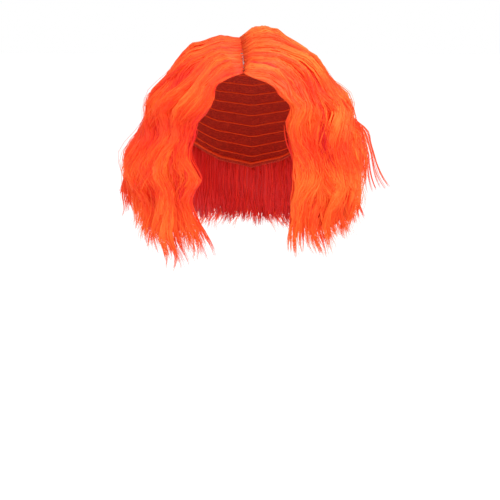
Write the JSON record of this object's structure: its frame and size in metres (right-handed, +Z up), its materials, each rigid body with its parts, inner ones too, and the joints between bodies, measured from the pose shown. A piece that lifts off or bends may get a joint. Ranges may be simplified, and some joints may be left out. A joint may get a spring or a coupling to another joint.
{
  "type": "cosplay wig",
  "caption": "Short wavy bright orange wig with a centre parting, a full rounded crown and ragged pointed tips, hollow for a head.",
  "frame": {"origin": "inside top of the cap, where the wig sits on the crown of a head", "axes": "+Z up, the wearer faces -Y, so +X is the wearer's left"},
  "size_m": [0.339, 0.2273, 0.2792],
  "materials": {
    "cap_net": "matt stretch net with sewn wefts",
    "parting_net": "matt pale net with dark knots",
    "hair": "soft satin synthetic fibre",
    "under_hair": "soft satin synthetic fibre, darker in its own shade"
  },
  "bodies": {
    "root": {"cap": "cap_net", "parting_strip": "parting_net", "hair_front_left": "hair", "hair_side_left": "hair", "hair_back_left": "hair", "hair_front_right": "hair", "hair_side_right": "hair", "hair_back_right": "hair", "hair_nape": "under_hair"}
  },
  "joints": []
}
